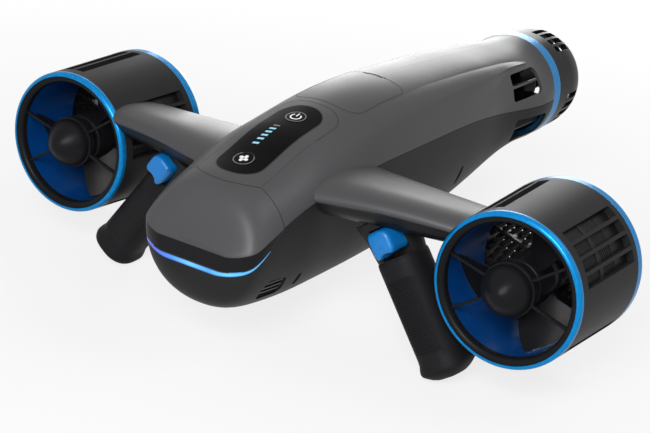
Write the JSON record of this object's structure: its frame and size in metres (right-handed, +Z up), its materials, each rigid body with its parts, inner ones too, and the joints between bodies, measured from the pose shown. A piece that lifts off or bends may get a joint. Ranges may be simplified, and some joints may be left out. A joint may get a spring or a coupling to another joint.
{
  "type": "underwater scooter",
  "caption": "Hand-held underwater scooter: slim hull with lit nose and control panel, ducted propellers on side arms, slanted grips with triggers, and a tail thruster.",
  "frame": {"origin": "on the ground under the middle of the whole object", "axes": "-Y is forward (the nose), +Z is up, +X is the rider's left hand side (port)"},
  "size_m": [0.5884, 0.614, 0.1986],
  "materials": {
    "gunmetal_shell": "satin dark grey paint",
    "black_shell": "satin",
    "black_plastic": "moulded, matt",
    "blue_anodised": "anodised, bright",
    "blue_plastic": "moulded, satin",
    "grip_rubber": "ribbed",
    "panel_glass": "polished black",
    "button_cap": "satin grey",
    "light_guide": "frosted, lit",
    "steel": "turned",
    "motor_can": "turned",
    "brass_insert": "knurled",
    "battery_wrap": "shrink wrap",
    "circuit_board": "lacquered"
  },
  "bodies": {
    "root": {"accessory_mount": "brass_insert", "battery_pack": "battery_wrap", "charge_socket": "black_plastic", "control_board": "circuit_board", "hull_screws": "steel", "lid_hinge_pin": "steel", "lid_seal": "grip_rubber", "light_strip": "light_guide", "lower_hull": "black_shell", "motor_controller": "motor_can", "nose_cap": "gunmetal_shell", "panel_bezel": "gunmetal_shell", "panel_glass": "panel_glass", "port_arm": "gunmetal_shell", "port_duct_shell": "black_shell", "port_front_guard": "black_plastic", "port_front_ring": "blue_anodised", "port_grip": "grip_rubber", "port_grip_foot": "grip_rubber", "port_liner": "blue_plastic", "port_motor": "motor_can", "port_nose_vent": "black_plastic", "port_rear_ring": "blue_anodised", "port_stator": "black_plastic", "port_trigger_pin": "steel", "port_trigger_spring": "steel", "rear_bulkhead": "black_plastic", "starboard_arm": "gunmetal_shell", "starboard_duct_shell": "black_shell", "starboard_front_guard": "black_plastic", "starboard_front_ring": "blue_anodised", "starboard_grip": "grip_rubber", "starboard_grip_foot": "grip_rubber", "starboard_liner": "blue_plastic", "starboard_motor": "motor_can", "starboard_nose_vent": "black_plastic", "starboard_rear_ring": "blue_anodised", "starboard_stator": "black_plastic", "starboard_trigger_pin": "steel", "starboard_trigger_spring": "steel", "tail_guard": "black_plastic", "tail_motor": "motor_can", "tail_nozzle": "black_plastic", "tail_ring": "blue_anodised", "upper_hull": "gunmetal_shell"},
    "port_rotor": {"port_propeller": "black_plastic", "port_prop_shaft": "steel"},
    "starboard_rotor": {"starboard_propeller": "black_plastic", "starboard_prop_shaft": "steel"},
    "tail_rotor": {"tail_propeller": "black_plastic", "tail_shaft": "steel"},
    "port_lever": {"port_trigger": "blue_plastic"},
    "starboard_lever": {"starboard_trigger": "blue_plastic"},
    "power_key": {"power_button": "button_cap"},
    "mode_key": {"mode_button": "button_cap"},
    "lid": {"charge_lid": "gunmetal_shell"}
  },
  "joints": [
    {"name": "port_propeller_spin", "type": "hinge", "parent": "root", "child": "port_rotor", "pos_m": [0.226, -0.16, 0.104], "axis": [0, 1, 0], "continuous": true},
    {"name": "starboard_propeller_spin", "type": "hinge", "parent": "root", "child": "starboard_rotor", "pos_m": [-0.226, -0.16, 0.104], "axis": [0, 1, 0], "continuous": true},
    {"name": "tail_propeller_spin", "type": "hinge", "parent": "root", "child": "tail_rotor", "pos_m": [0, 0.24, 0.1347], "axis": [0, 1, 0], "continuous": true},
    {"name": "port_trigger_pull", "type": "hinge", "parent": "root", "child": "port_lever", "pos_m": [0.10844, -0.1865, 0.11459], "axis": [0.8192, 0, 0.5736], "range_deg": [0, 12], "stiffness_Nm_per_rad": 0.4, "springref_deg": -8.59},
    {"name": "starboard_trigger_pull", "type": "hinge", "parent": "root", "child": "starboard_lever", "pos_m": [-0.10844, -0.1865, 0.11459], "axis": [0.8192, 0, -0.5736], "range_deg": [0, 12], "stiffness_Nm_per_rad": 0.4, "springref_deg": -8.59},
    {"name": "power_button_press", "type": "slide", "parent": "root", "child": "power_key", "axis": [0, 0.1951, -0.9808], "range_m": [0, 0.0008], "stiffness_N_per_m": 400, "springref_m": -0.001},
    {"name": "mode_button_press", "type": "slide", "parent": "root", "child": "mode_key", "axis": [0, 0.288, -0.9576], "range_m": [0, 0.0008], "stiffness_N_per_m": 400, "springref_m": -0.001},
    {"name": "charge_lid_open", "type": "hinge", "parent": "root", "child": "lid", "pos_m": [0, -0.0477, 0.19732], "axis": [-1, 0, 0], "range_deg": [0, 95]}
  ]
}
